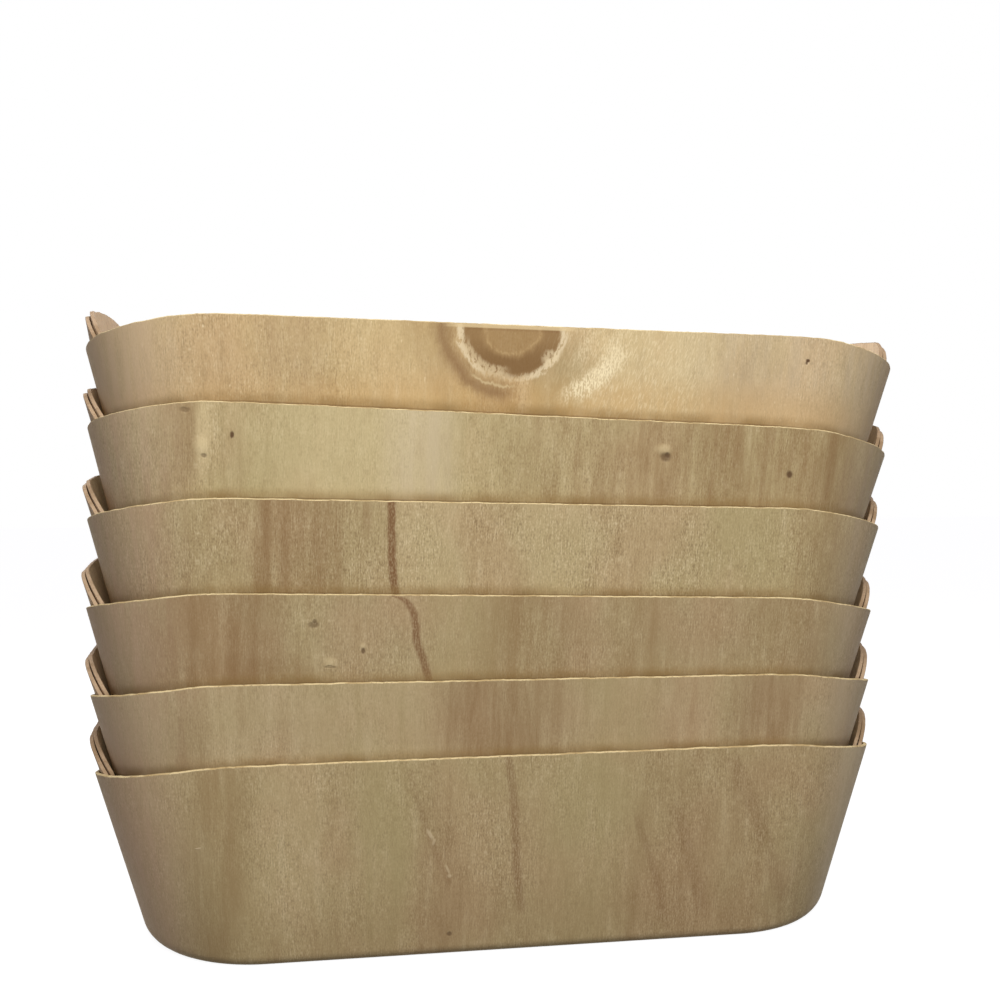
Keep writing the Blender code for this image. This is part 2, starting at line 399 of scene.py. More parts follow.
def earHeight(turn):
    drop, shoulder = liningStrip["earStartDrop"], liningStrip["earShoulderRise"]
    if turn <= endCorner:
        share = math.sin((turn - plyEdge) / (endCorner - plyEdge) * math.pi / 2)
        return mould["height"] - drop + (drop + shoulder) * share
    alongEnd = 1 - (midEnd - turn) ** 2
    return mould["height"] + shoulder + (liningStrip["earCrownRise"] - shoulder) * alongEnd


def plyColumns():
    # signed by the side of the end that they lie on: front edge, middle, back edge
    quarter = evenSteps(plyEdge, endCorner, liningStrip["plySteps"])
    quarter += evenSteps(endCorner, midEnd, liningStrip["endSteps"])[1:]
    return [(1, turn) for turn in quarter] + [(-1, turn) for turn in reversed(quarter[:-1])]


def stripDepth(bend):
    return layer + layer * smoothStep(bend / plyStartTurn)


def bendHeight(bend, depth):
    return depth + (mould["endBendRadius"] - depth) * (1 - math.cos(bend))


def earPoint(turn, height, depth, lean):
    point = mouldPoint(turn, height, depth)
    outwards = min(turn, endCorner) * math.pi / 2
    reach = lean * max(height - rimHeight(turn), 0)
    return point + Vector((-math.cos(outwards), -math.sin(outwards), 0)) * reach


def stripPoint(turn, row, top, lean):
    # a point of the lining strip's half at +x: floor, bend into the end, then the end with its ear
    kind, value = row
    if kind == "ear":
        low = bendHeight(bendTurn, 2 * layer)
        return earPoint(turn, low + (top - low) * value, 2 * layer, lean)
    if kind == "bend":
        depth = stripDepth(value)
        return mouldPoint(turn, bendHeight(value, depth), depth)
    edge = mouldPoint(plyEdge, layer, layer)
    point = mouldPoint(turn, layer, layer)
    side = mouldPoint(value, layer, layer)
    side.y += liningStrip["sideGap"]
    cornerX = mouldPoint(frontCorner, layer, layer).x
    point.y *= side.y / edge.y
    if side.x <= cornerX:
        point.x = side.x
    else:
        point.x = cornerX + (point.x - cornerX) * (side.x - cornerX) / (edge.x - cornerX)
    return point


def buildLiningStrip(number, seat, materials):
    seed = number * 5.3
    columns = plyColumns()
    half = [("floor", turn) for turn in evenSteps(midFront, frontCorner, liningStrip["floorSteps"])]
    half += [("floor", turn) for turn in evenSteps(frontCorner, plyEdge, liningStrip["cornerSteps"])[1:-1]]
    half += [("bend", bend) for bend in evenSteps(0, bendTurn, liningStrip["bendSteps"])]
    half += [("ear", share) for share in evenSteps(0, 1, liningStrip["earSteps"])[1:]]
    rows = [(-1, row) for row in reversed(half[1:])] + [(1, row) for row in half]
    sheet, columnLayer, rowLayer = newGrid(len(columns), len(rows))
    closeness = sheet.verts.layers.float.new("edgeDistance")
    sheet.verts.index_update()
    lengths = stripLengths(half)
    lean = liningStrip["earLeans"][number - 1]
    places = {}
    for vertex in sheet.verts:
        across, turn = columns[vertex[columnLayer]]
        end, row = rows[vertex[rowLayer]]
        top = earHeight(turn)
        onEar = (top - bendHeight(bendTurn, 2 * layer)) * (1 - row[1])
        vertex[closeness] = onEar if row[0] == "ear" else farFromEdge
        point = stripPoint(turn, row, top, lean)
        if row == ("ear", 1):
            top += ragged(point.y * across, seed + end)
            point = stripPoint(turn, row, top, lean)
        places[vertex.index] = (end * lengths[half.index(row)], point.y * across)
        vertex.co = Vector((point.x * end, point.y * across, point.z))
    writeSheetMap(sheet, places)
    return finishSheet(f"basket{number}_lining_veneer", sheet, seat, materials)


def stripLengths(half):
    lengths = [0.0]
    last = stripPoint(midEnd, half[0], earHeight(midEnd), 0)
    for row in half[1:]:
        point = stripPoint(midEnd, row, earHeight(midEnd), 0)
        lengths.append(lengths[-1] + (point - last).length)
        last = point
    return lengths


def buildEndPly(number, end, seat, materials):
    seed = number * 8.9 + end * 2
    columns = plyColumns()
    rows = [("bend", bend) for bend in evenSteps(plyStartTurn, bendTurn, endPly["bendSteps"])]
    rows += [("ear", share) for share in evenSteps(0, 1, liningStrip["earSteps"])[1:]]
    sheet, columnLayer, rowLayer = newGrid(len(columns), len(rows))
    closeness = sheet.verts.layers.float.new("edgeDistance")
    sheet.verts.index_update()
    low = bendHeight(bendTurn, layer)
    lean = liningStrip["earLeans"][number - 1]
    places = {}
    for vertex in sheet.verts:
        across, turn = columns[vertex[columnLayer]]
        kind, value = rows[vertex[rowLayer]]
        top = earHeight(turn) - endPly["earStep"]
        height = bendHeight(value, layer) if kind == "bend" else low + (top - low) * value
        vertex[closeness] = top - height
        point = earPoint(turn, height, layer, lean)
        if (kind, value) == ("ear", 1):
            height += ragged(point.y * across, seed)
            point = earPoint(turn, height, layer, lean)
        places[vertex.index] = (point.y * across + endPly["mapShift"] * end, point.z)
        vertex.co = Vector((point.x * end, point.y * across, point.z))
    writeSheetMap(sheet, places)
    side = "right" if end > 0 else "left"
    return finishSheet(f"basket{number}_{side}_ear_ply", sheet, seat, materials)


def paint(red, green, blue):
    # a colour given in screen values, made linear
    def linear(value):
        value /= 255
        return value / 12.92 if value <= 0.04045 else ((value + 0.055) / 1.055) ** 2.4
    return linear(red), linear(green), linear(blue), 1


def newMaterial(name):
    material = bpy.data.materials.new(name)
    material.use_nodes = True
    material.node_tree.nodes.clear()
    return material, material.node_tree


def addNode(tree, kind, inputs=None, **settings):
    # inputs: a socket's name or number, with a value or the output that feeds it
    made = tree.nodes.new(kind)
    for key, value in settings.items():
        setattr(made, key, value)
    for key, value in (inputs or {}).items():
        if isinstance(value, bpy.types.NodeSocket):
            tree.links.new(value, made.inputs[key])
        else:
            made.inputs[key].default_value = value
    return made


def maths(tree, operation, *values):
    return addNode(tree, "ShaderNodeMath", dict(enumerate(values)), operation=operation).outputs[0]


def vectorMaths(tree, operation, *values):
    return addNode(tree, "ShaderNodeVectorMath", dict(enumerate(values)), operation=operation).outputs


def times(tree, first, second):
    return maths(tree, "MULTIPLY", first, second)


def plus(tree, first, second):
    return maths(tree, "ADD", first, second)


def minus(tree, first, second):
    return maths(tree, "SUBTRACT", first, second)


def split(tree, vector):
    return addNode(tree, "ShaderNodeSeparateXYZ", {0: vector}).outputs


def ramp(tree, value, low, high, start=0.0, end=1.0):
    # a smooth rise of a value between two limits
    inputs = {"Value": value, "From Min": low, "From Max": high, "To Min": start, "To Max": end}
    return addNode(tree, "ShaderNodeMapRange", inputs, interpolation_type="SMOOTHSTEP").outputs["Result"]


def tint(tree, colour, other, factor):
    return addNode(tree, "ShaderNodeMix", {0: factor, 6: colour, 7: other}, data_type="RGBA").outputs[2]


def sheetPlace(tree):
    return addNode(tree, "ShaderNodeUVMap", uv_map="sheet").outputs[0]


def edgeDistance(tree):
    # how far a point lies below the cut edge
    return addNode(tree, "ShaderNodeAttribute", attribute_name="edgeDistance").outputs["Fac"]


def mapped(tree, vector, place=(0, 0, 0), turn=0.0, scale=(1, 1, 1), kind="POINT"):
    inputs = {"Vector": vector, "Location": place, "Rotation": (0, 0, turn), "Scale": scale}
    return addNode(tree, "ShaderNodeMapping", inputs, vector_type=kind).outputs[0]


def grainNoise(tree, vector, scale, place, detail=3.0, roughness=0.55, output="Fac"):
    inputs = {"Vector": mapped(tree, vector, place, scale=scale), "Scale": 1, "Detail": detail,
              "Roughness": roughness}
    return addNode(tree, "ShaderNodeTexNoise", inputs, noise_dimensions="3D").outputs[output]


def wavered(tree, vector, scale, amount, place):
    # pushes a map sideways by a slow noise, so that what is drawn on it isn't ruled
    push = grainNoise(tree, vector, scale, place, 2, 0.5, "Color")
    centred = vectorMaths(tree, "SUBTRACT", vector, (amount[0] / 2, amount[1] / 2, 0))[0]
    return vectorMaths(tree, "MULTIPLY_ADD", push, (*amount, 0), centred)[0]


def oval(tree, vector, x, height, halfWidth, halfHeight, lean=0.0):
    # a place on the wall sheet seen from an oval's middle, and how far out it is: 1 on the oval
    spot = (x, upSheet(height), 0)
    inside = mapped(tree, vector, spot, math.radians(-lean), (halfWidth, halfHeight, 1), "TEXTURE")
    return inside, vectorMaths(tree, "LENGTH", inside)["Value"]


def blot(tree, vector, x, height, width, tall, lean=0.0, softness=0.5):
    # an oval patch on the front wall, 1 inside and 0 outside
    reach = oval(tree, vector, x, height, width / 2, tall / 2, lean)[1]
    return ramp(tree, reach, 1 + softness / 2, 1 - softness / 2)


lineEnds = {"margin": 0.001, "fadeIn": 0.003, "fadeOut": 0.002}


def drawnLine(tree, vector, points, width, softness=0.55):
    # a line down the front wall through the points (x, height), from its top to its foot
    parts = split(tree, vector)
    ups = [upSheet(height) for _, height in points]
    sides = [x for x, _ in points]
    foot, head = min(ups), max(ups)
    left = min(sides) - lineEnds["margin"]
    room = max(sides) + lineEnds["margin"] - left
    share = addNode(tree, "ShaderNodeMapRange", {"Value": parts["Y"], "From Min": foot, "From Max": head})
    curve = addNode(tree, "ShaderNodeFloatCurve", {"Value": share.outputs[0]})
    spots = sorted(((up - foot) / (head - foot), (side - left) / room) for up, side in zip(ups, sides))
    line = curve.mapping.curves[0].points
    line[0].location, line[1].location = spots[0], spots[-1]
    for spot in spots[1:-1]:
        line.new(*spot)
    curve.mapping.update()
    place = maths(tree, "MULTIPLY_ADD", curve.outputs[0], room, left)
    away = maths(tree, "ABSOLUTE", minus(tree, parts["X"], place))
    across = ramp(tree, away, width / 2 * (1 + softness), width / 2 * (1 - softness))
    below = ramp(tree, parts["Y"], foot - lineEnds["fadeIn"], foot + lineEnds["fadeOut"])
    above = ramp(tree, parts["Y"], head + lineEnds["fadeIn"], head)
    return times(tree, across, times(tree, below, above))


veneerLook = {
    "wood": paint(196, 170, 126),
    "heart": paint(158, 132, 92),
    "olive": paint(178, 162, 116),
    "rosy": paint(186, 154, 117),
    "fibreDark": paint(96, 74, 44),
    "fibrePale": paint(246, 230, 190),
    "cutEdge": paint(228, 208, 170),
    "knot": paint(84, 58, 36),
    "stain": paint(116, 76, 44),
    "brown": paint(140, 109, 72),
    "gold": paint(202, 164, 106),
    "fair": paint(226, 206, 160),
    "ash": paint(214, 197, 168),
    "blush": paint(216, 184, 154),
    "grain": 0.5,  # how strong the short fibres are
    "bands": 0.4,  # how strong the slow upright bands are
    "sparkle": 0.4,  # how strong the few pale torn fibres are
    "mottle": 1,  # how strong the soft spots are
}

# waves per metre, across the grain and along it
grainWaves = {
    "broad": (64, 6, 1),
    "narrow": (330, 30, 1),
    "patchy": (34, 22, 1),
    "mottled": (340, 110, 1),
    "uneven": (70, 36, 1),
    "torn": (1500, 420, 1),
    "short": (3600, 1400, 1),
    "middle": (3400, 520, 1),
    "long": (2800, 180, 1),
}


def veneerColour(tree, vector, number, look):
    # wood without its marks: slow bands, streaks, and short fine fibres along the grain
    seed = number * 3.7
    waved = wavered(tree, vector, (38, 9, 1), (0.004, 0), (seed, 2, 1))

    def waves(name, place, detail=3.0, roughness=0.55, over=waved):
        return grainNoise(tree, over, grainWaves[name], (seed, *place), detail, roughness)

    broad = waves("broad", (0, 3))
    narrow = waves("narrow", (7, 0), 4, 0.6)
    patchy = waves("patchy", (11, 5), 2, over=vector)
    mottled = waves("mottled", (5, 9), 3, 0.65, over=vector)
    # a shade, where it starts and is full, and its strength
    layers = (("heart", broad, 0.5, 0.8, look["bands"]), ("olive", patchy, 0.44, 0.66, 0.4),
              ("rosy", patchy, 0.54, 0.34, 0.35), ("heart", mottled, 0.48, 0.72, 0.42 * look["mottle"]),
              ("fibrePale", mottled, 0.48, 0.28, 0.16 * look["mottle"]), ("heart", narrow, 0.5, 0.7, 0.3),
              ("fibrePale", narrow, 0.46, 0.28, 0.12))
    colour = look["wood"]
    for shade, value, low, high, strength in layers:
        colour = tint(tree, colour, look[shade], ramp(tree, value, low, high, 0, strength))
    short = waves("short", (1, 2), 0)
    middle = waves("middle", (9, 8), 0)
    long = waves("long", (3, 6), 0)
    longer = plus(tree, times(tree, middle, 0.38), times(tree, long, 0.22))
    fibres = plus(tree, times(tree, short, 0.4), longer)
    uneven = waves("uneven", (15, 4), 3, 0.6, over=vector)
    strength = ramp(tree, uneven, 0.36, 0.64, 0.6 * look["grain"], 1.25 * look["grain"])
    dark = times(tree, ramp(tree, fibres, 0.5, 0.68), strength)
    pale = times(tree, ramp(tree, fibres, 0.5, 0.32), times(tree, strength, 0.8))
    colour = tint(tree, colour, look["fibreDark"], dark)
    colour = tint(tree, colour, look["fibrePale"], pale)
    torn = waves("torn", (6, 7), 1)
    colour = tint(tree, colour, look["fibrePale"], ramp(tree, torn, 0.69, 0.8, 0, look["sparkle"]))
    relief = plus(tree, fibres, times(tree, mottled, 0.5))
    return colour, relief, fibres, narrow


frayedEdge = {
    "frayWaves": (1200, 500, 1),
    "brokenWaves": (260, 1, 1),
    "frayReach": 0.0007,
    "fade": 0.0003,
}


def wornEdge(tree, colour, vector, seed):
    # the last quarter of a millimetre below a cut edge is pale, frayed fibre
    distance = edgeDistance(tree)
    fray = grainNoise(tree, vector, frayedEdge["frayWaves"], (seed, 4, 6), 3)
    broken = grainNoise(tree, vector, frayedEdge["brokenWaves"], (seed, 2, 3), 2)
    edge = minus(tree, distance, times(tree, fray, frayedEdge["frayReach"]))
    worn = ramp(tree, edge, 0.0, -frayedEdge["fade"])
    mask = times(tree, worn, ramp(tree, broken, 0.38, 0.62, 0.1, 0.85))
    return tint(tree, colour, veneerLook["cutEdge"], mask)


# painted shade above the rim of the basket below, a soft band and a thin contact shadow: distances from the
# line where the next rim lies, above it below zero
rimShadePaint = {
    "drops": (0.0005, 0.0003, 0.0002, 0.0, -0.0001),  # how far below the rim the line is, baskets 2 to 6
    "cloudWaves": (90, 90, 1),
    "softRise": (-0.0034, -0.0004),
    "softFade": (0.0045, 0.0008),
    "softShadeColour": paint(140, 113, 68),
    "thinRise": (-0.0005, -0.0001),
    "thinFade": (0.0024, 0.0006),
    "contactShadowColour": paint(106, 78, 46),
    "thinStrength": 0.42,
    "outside": (0.005, 0.015),
}


def paintedRimShade(tree, colour, vector, number):
    # painted shade: the wall is darkened just above where the rim of the basket below lies, a soft band and
    # a thin painted contact shadow
    (below, leanBelow), (above, leanAbove) = nestPlaces()[number - 2:number]
    lineDrop = above.z - below.z + rimShadePaint["drops"][number - 2]
    line = maths(tree, "MULTIPLY_ADD", split(tree, vector)["X"], leanBelow - leanAbove, lineDrop)
    under = minus(tree, edgeDistance(tree), line)
    cloud = grainNoise(tree, vector, rimShadePaint["cloudWaves"], (number, 3, 8), 2)
    soft = times(tree, ramp(tree, under, *rimShadePaint["softRise"]), ramp(tree, cloud, 0.3, 0.7, 0.3, 0.75))
    soft = times(tree, soft, ramp(tree, under, *rimShadePaint["softFade"]))
    # the thin dark line is a painted contact shadow along the rim below
    thin = ramp(tree, under, *rimShadePaint["thinRise"], 0, rimShadePaint["thinStrength"])
    thin = times(tree, thin, ramp(tree, under, *rimShadePaint["thinFade"]))
    # the inside of the wall has none: there the normal looks towards the basket's middle
    sides = addNode(tree, "ShaderNodeTexCoord").outputs
    flat = vectorMaths(tree, "MULTIPLY", sides["Object"], (1, 1, 0))[0]
    outward = vectorMaths(tree, "DOT_PRODUCT", flat, sides["Normal"])["Value"]
    outside = ramp(tree, outward, *rimShadePaint["outside"])
    colour = tint(tree, colour, rimShadePaint["softShadeColour"], times(tree, soft, outside))
    return tint(tree, colour, rimShadePaint["contactShadowColour"], times(tree, thin, outside))


drySurface = {
    "specular": 0.2,
    "bumpStrength": 0.5,
    "bumpDepth": 0.0001,
    "wallRoughness": (0.58, 0.72),
    "plyRoughness": (0.6, 0.75),
    "cutEdgeRoughness": (0.75, 0.9),
}


def closeMaterial(tree, colour, relief, uneven, roughness):
    # a dull, dry surface with fine relief
    bump = addNode(tree, "ShaderNodeBump", {
        "Strength": drySurface["bumpStrength"], "Distance": drySurface["bumpDepth"], "Height": relief})
    shader = addNode(tree, "ShaderNodeBsdfPrincipled", {
        "Base Color": colour, "Specular IOR Level": drySurface["specular"], "Normal": bump.outputs[0],
        "Roughness": ramp(tree, uneven, 0.3, 0.7, *drySurface[roughness])})
    addNode(tree, "ShaderNodeOutputMaterial", {"Surface": shader.outputs[0]})


# Marks of each basket's front, basket 1 the lowest. A place is (x, height) in the basket's own frame.
# shades: colour, x, height, width, height of the patch, lean in degrees, strength. An upright band over the
# whole wall is only colour, x, width, strength: its height and the patch's height are those of "upright".
# scars and the pale swirls: as shades, without a colour. The pale streaks: the same, their grain leaning.
# The swirls and streaks are painted sheen of the figured grain.
# pinKnots: x, height, width, height, strength; knobs: x, height, width, height, lift. The knobs' pale
# colour is a painted highlight on their real relief.
basketLooks = {
    1: {
        "wood": paint(184, 162, 120), "bands": 0.25, "grain": 0.3, "sparkle": 0.15, "mottle": 0.6,
        "lines": (
            ((-0.0008, 0.053), (0.0008, 0.0412), (0.0014, 0.0276), (0.0028, 0.012), 0.0021, 0.34),
            ((0.059, 0.05), (0.064, 0.0395), (0.0692, 0.0273), (0.0744, 0.01), 0.0042, 0.14),
            ((0.044, 0.0375), (0.0491, 0.0214), (0.0523, 0.008), 0.0036, 0.15),
            ((0.0335, 0.0352), (0.0391, 0.0185), (0.0418, 0.007), 0.002, 0.18),
            ((-0.0256, 0.05), (-0.0215, 0.0345), (-0.0162, 0.02), 0.0016, 0.16),
        ),
        "shades": (
            ("brown", -0.019, 0.02, 0.012, 0.06, -4, 0.26), ("brown", 0.056, 0.03, 0.018, 0.07, 10, 0.14),
            ("olive", -0.033, 0.025, 0.014, 0.08, 0, 0.5), ("olive", -0.08, 0.015, 0.024, 0.08, 0, 0.3),
            ("heart", -0.074, 0.03, 0.015, 0.09, 6, 0.5), ("olive", 0.022, 0.028, 0.026, 0.08, 4, 0.4),
            # painted shade: the wide brown band along the foot, by the floor, first on the next line
            ("brown", 0, 0.003, 0.24, 0.034, -2, 0.2), ("brown", 0.04, 0.03, 0.02, 0.08, 8, 0.2),
            ("brown", 0.067, 0.03, 0.014, 0.08, 10, 0.16), ("fair", -0.056, 0.035, 0.016, 0.06, 0, 0.16),
            # painted light: the pale band at the right corner
            ("fair", 0.101, 0.03, 0.018, 0.2, 0, 0.5),
        ),
        "scars": (
            (-0.0209, 0.034, 0.0009, 0.0034, -24, 0.5), (-0.02, 0.0318, 0.0007, 0.002, 16, 0.4),
            (-0.0164, 0.024, 0.0007, 0.003, -20, 0.4), (-0.016, 0.0222, 0.001, 0.001, 0, 0.4),
            (-0.079, 0.033, 0.0016, 0.0004, -10, 0.6),
        ),
        "pinKnots": ((-0.0162, 0.0062, 0.0013, 0.0012, 0.6),),
    },
    2: {
        "wood": paint(190, 169, 130), "bands": 0.2, "grain": 0.2, "sparkle": 0.1, "mottle": 0.35,
        "upright": (0.04, 0.2),
        "shades": (
            ("brown", -0.004, 0.028, 0.58), ("brown", 0.068, 0.019, 0.5), ("brown", 0.042, 0.03, 0.16),
            ("brown", 0.015, 0.022, 0.2), ("rosy", 0.049, 0.012, 0.3), ("olive", 0.029, 0.02, 0.4),
            ("brown", -0.0795, 0.01, 0.3), ("olive", -0.035, 0.03, 0.3),
        ),
    },
    3: {
        "wood": paint(177, 156, 117), "bands": 0.25, "grain": 0.24, "sparkle": 0.1, "mottle": 0.6,
        "upright": (0.044, 0.12),
        "lines": (
            ((-0.0296, 0.0538), (-0.0255, 0.0516), (-0.0237, 0.0478), (-0.0233, 0.0428), (-0.0215, 0.0374),
             (-0.0197, 0.031), 0.0019, 0.62),
        ),
        "shades": (
            ("brown", -0.074, 0.034, 0.46), ("brown", -0.062, 0.0335, 0.03, 0.01, 2, 0.34),
            ("brown", -0.0648, 0.04, 0.007, 0.04, 4, 0.26), ("heart", -0.003, 0.012, 0.4),
            ("brown", 0.017, 0.01, 0.2), ("heart", 0.034, 0.014, 0.35), ("olive", -0.011, 0.02, 0.4),
            ("brown", 0.073, 0.018, 0.2), ("brown", 0.054, 0.06, 0.12), ("brown", 0.004, 0.02, 0.3),
        ),
        "pinKnots": (
            (-0.0487, 0.0463, 0.0024, 0.0016, 0.5), (-0.0484, 0.0472, 0.001, 0.001, 0.5),
            (-0.0365, 0.0396, 0.0009, 0.0016, 0.7), (-0.0446, 0.0356, 0.0026, 0.0008, 0.25),
        ),
        "knobs": (
            (-0.0446, 0.0368, 0.0026, 0.0024, 0.7), (-0.0366, 0.041, 0.0012, 0.0014, 0.4),
        ),
    },
    4: {
        "wood": paint(183, 163, 121), "bands": 0.25, "grain": 0.36, "sparkle": 0.15, "mottle": 0.75,
        "upright": (0.042, 0.2),
        "lines": (
            ((-0.0306, 0.0538), (-0.0305, 0.0465), (-0.0303, 0.0394), (-0.0293, 0.03), 0.0019, 0.75),
        ),
        "shades": (
            ("brown", -0.052, 0.022, 0.4), ("brown", -0.0612, 0.042, 0.0042, 0.2, 1, 0.46),
            ("brown", -0.0565, 0.0034, 0.4), ("brown", -0.052, 0.002, 0.2), ("brown", -0.047, 0.0036, 0.3),
            ("brown", -0.0435, 0.002, 0.25), ("brown", -0.0364, 0.051, 0.0022, 0.01, 0, 0.34),
            ("brown", -0.075, 0.03, 0.14), ("fair", -0.021, 0.016, 0.14), ("olive", 0.06, 0.02, 0.4),
            ("fair", 0.011, 0.016, 0.14), ("brown", 0.086, 0.024, 0.3), ("brown", -0.034, 0.01, 0.14),
        ),
    },
    5: {
        "wood": paint(196, 178, 133), "bands": 0.2, "grain": 0.33, "sparkle": 0.35,
        "upright": (0.043, 0.2),
        "shades": (
            ("brown", 0.058, 0.094, 0.48), ("brown", 0.053, 0.0465, 0.01, 0.06, 0, 0.2),
            ("olive", -0.038, 0.08, 0.4), ("brown", -0.08, 0.05, 0.006, 0.036, 0, 0.4),
            ("brown", -0.085, 0.044, 0.006, 0.08, 0, 0.25), ("brown", 0.003, 0.018, 0.2),
            ("fair", -0.076, 0.0455, 0.0034, 0.018, 0, 0.4), ("brown", 0.02, 0.006, 0.14),
            ("fair", -0.039, 0.034, 0.3), ("ash", -0.024, 0.016, 0.35), ("brown", 0.088, 0.026, 0.34),
            ("brown", -0.069, 0.036, 0.006, 0.024, 0, 0.25),
        ),
        "pinKnots": (
            # the dark spot at x -0.0758 is a painted shadow under the raised spot above it
            (-0.0692, 0.0461, 0.0008, 0.0016, 0.9), (-0.0758, 0.0411, 0.0013, 0.001, 0.5),
            (-0.0802, 0.0515, 0.0022, 0.0013, 0.36), (0.0376, 0.045, 0.0026, 0.0022, 0.6),
            (0.038, 0.0455, 0.0012, 0.0014, 0.6), (0.0706, 0.042, 0.0015, 0.0019, 0.85),
        ),
        "knobs": (
            (-0.0763, 0.0432, 0.003, 0.0036, 0.8), (0.0368, 0.047, 0.0034, 0.0022, 0.7),
        ),
    },
    6: {
        "wood": paint(200, 172, 126), "bands": 0.2, "grain": 0.29, "sparkle": 0.5,
        "shades": (
            ("rosy", -0.056, 0.046, 0.016, 0.09, 0, 0.3), ("gold", -0.027, 0.042, 0.034, 0.06, 0, 0.25),
            ("stain", -0.0068, 0.034, 0.013, 0.006, 8, 0.22), ("ash", 0.07, 0.044, 0.06, 0.12, 0, 0.34),
            ("fair", 0.03, 0.047, 0.036, 0.05, 10, 0.4), ("olive", 0.0105, 0.04, 0.014, 0.022, 10, 0.5),
            ("brown", 0.011, 0.042, 0.013, 0.026, 14, 0.24), ("fair", -0.033, 0.046, 0.02, 0.08, -20, 0.22),
            ("brown", -0.0225, 0.045, 0.006, 0.04, -28, 0.16),
            # painted light: the pale band at x -0.108, by the left corner
            ("brown", 0.056, 0.04, 0.014, 0.03, 20, 0.12), ("fair", -0.108, 0.044, 0.046, 0.2, 0, 0.55),
            ("gold", 0.02, 0.0335, 0.17, 0.016, 0, 0.42),
        ),
        "horseshoe": {
            "oval": (-0.0024, 0.0528, 0.0133, 0.013),  # x, height, half its width, half its height
            "heart": paint(154, 122, 78), "darkRing": paint(124, 93, 56),
            "innerLine": paint(206, 176, 126), "lip": paint(226, 207, 170),
            "thickLip": paint(212, 189, 148), "blob": paint(228, 208, 168),
            "rimLip": paint(222, 198, 152), "blobPlace": (0.0074, 0.0463, 0.0034, 0.0042, 24, 0.8),
        },
        # painted sheen of the figured grain: these pale swirls and the streaks after them
        "sheenSwirls": (
            (0.017, 0.0405, 0.013, 0.005, -34, 0.95), (0.0222, 0.045, 0.011, 0.0044, -48, 0.8),
            (0.0155, 0.0485, 0.003, 0.009, 24, 0.35), (0.0228, 0.0495, 0.003, 0.008, 30, 0.4),
        ),
        "streaks": (0.03, 0.045, 0.036, 0.034, 16, 0.3),
        "pinKnots": (
            (0.0736, 0.0479, 0.001, 0.0009, 0.95), (0.0733, 0.0473, 0.0006, 0.0008, 0.8),
        ),
    },
}

# painted light: the moulded corners, turned away from the lamp, are painted paler
paintedCornerLight = (("blush", -0.102, 0.04, 0.034, 0.2, 0, 0.4), ("ash", 0.099, 0.04, 0.022, 0.2, 0, 0.3))

# waves per metre of the maps that the marks are drawn on, and how far they are pushed
markMaps = {
    "fuzzy": ((500, 60, 1), (0.0012, 0.0012)),
    "fuzzySlow": ((60, 20, 1), (0.003, 0.003)),
    "edgy": ((500, 120, 1), (0.0006, 0.0008)),
    "feathery": ((900, 300, 1), (0.0022, 0.0034)),
    "knot": ((1500, 420, 1), (0.001, 0.0016)),
    "knotSlow": ((150, 150, 1), (0.003, 0.0024)),
}
crispWidth = 0.009  # a narrower patch keeps crisp sides


def allShades(look):
    for entry in look["shades"] + paintedCornerLight:
        if len(entry) == 4:
            shade, x, width, strength = entry
            height, tall = look["upright"]
            entry = shade, x, height, width, tall, 0, strength
        yield entry


def horseshoeKnot(tree, colour, vector, look):
    # half a knot cut by the rim: golden heart, dark ring, frayed pale ring and a brown skirt on the left
    figure = look["horseshoe"]
    fuzzy = wavered(tree, vector, *markMaps["knot"], (3, 1, 4))
    fuzzy = wavered(tree, fuzzy, *markMaps["knotSlow"], (5, 2, 4))
    inside, reach = oval(tree, fuzzy, *figure["oval"])
    parts = split(tree, inside)
    across, up = parts["X"], parts["Y"]
    fray = grainNoise(tree, fuzzy, (1500, 600, 1), (8, 2, 3), 3)
    jagged = ramp(tree, fray, 0.36, 0.52, 0.1, 1)

    def ring(inner, outer, soft):
        rise = ramp(tree, reach, inner - soft, inner + soft)
        return times(tree, rise, ramp(tree, reach, outer + soft, outer - soft))

    def lay(mask, second, strength, shade):
        return tint(tree, colour, shade, times(tree, times(tree, mask, second), strength))

    # the brown skirt, and a fine pale line in it
    leftSide = ramp(tree, across, 0.3, -0.25)
    colour = lay(ring(1.08, 1.42, 0.14), leftSide, 0.62, look["brown"])
    colour = lay(ring(1.22, 1.34, 0.08), leftSide, 0.3, look["stain"])
    low = times(tree, ramp(tree, across, 0.15, -0.1), ramp(tree, across, -0.85, -0.6))
    colour = lay(ring(1.13, 1.16, 0.025), low, 0.6, look["fair"])
    # the heart, its dark ring and the line between them
    colour = lay(ramp(tree, reach, 1.0, 0.9), 1.0, 0.8, figure["heart"])
    colour = lay(ring(0.56, 0.92, 0.08), ramp(tree, up, -0.1, -0.7, 0.55, 1), 0.85, figure["darkRing"])
    colour = lay(ring(0.49, 0.52, 0.03), ramp(tree, fray, 0.35, 0.55), 0.4, figure["innerLine"])
    # the frayed lip, thicker at the lower left
    flanks = ramp(tree, maths(tree, "ABSOLUTE", plus(tree, across, 0.12)), 0.25, 0.6, 0.4, 1)
    colour = lay(ring(0.91, 1.04, 0.035), times(tree, flanks, jagged), 0.84, figure["lip"])
    lowLeft = times(tree, ramp(tree, across, 0.05, -0.35), ramp(tree, up, -0.1, -0.45))
    colour = lay(ring(0.8, 0.97, 0.05), times(tree, lowLeft, jagged), 0.75, figure["thickLip"])
    colour = lay(blot(tree, fuzzy, *figure["blobPlace"]), jagged, 0.6, figure["blob"])
    # a pale strip along the rim with a dark line under it
    distance = edgeDistance(tree)
    near = ramp(tree, reach, 1.35, 1.0)
    colour = lay(ramp(tree, distance, 0.0013, 0.0009), near, 0.75, figure["rimLip"])
    line = times(tree, ramp(tree, distance, 0.001, 0.0013), ramp(tree, distance, 0.0019, 0.0013))
    return lay(line, ramp(tree, reach, 0.95, 0.85), 0.22, look["stain"])


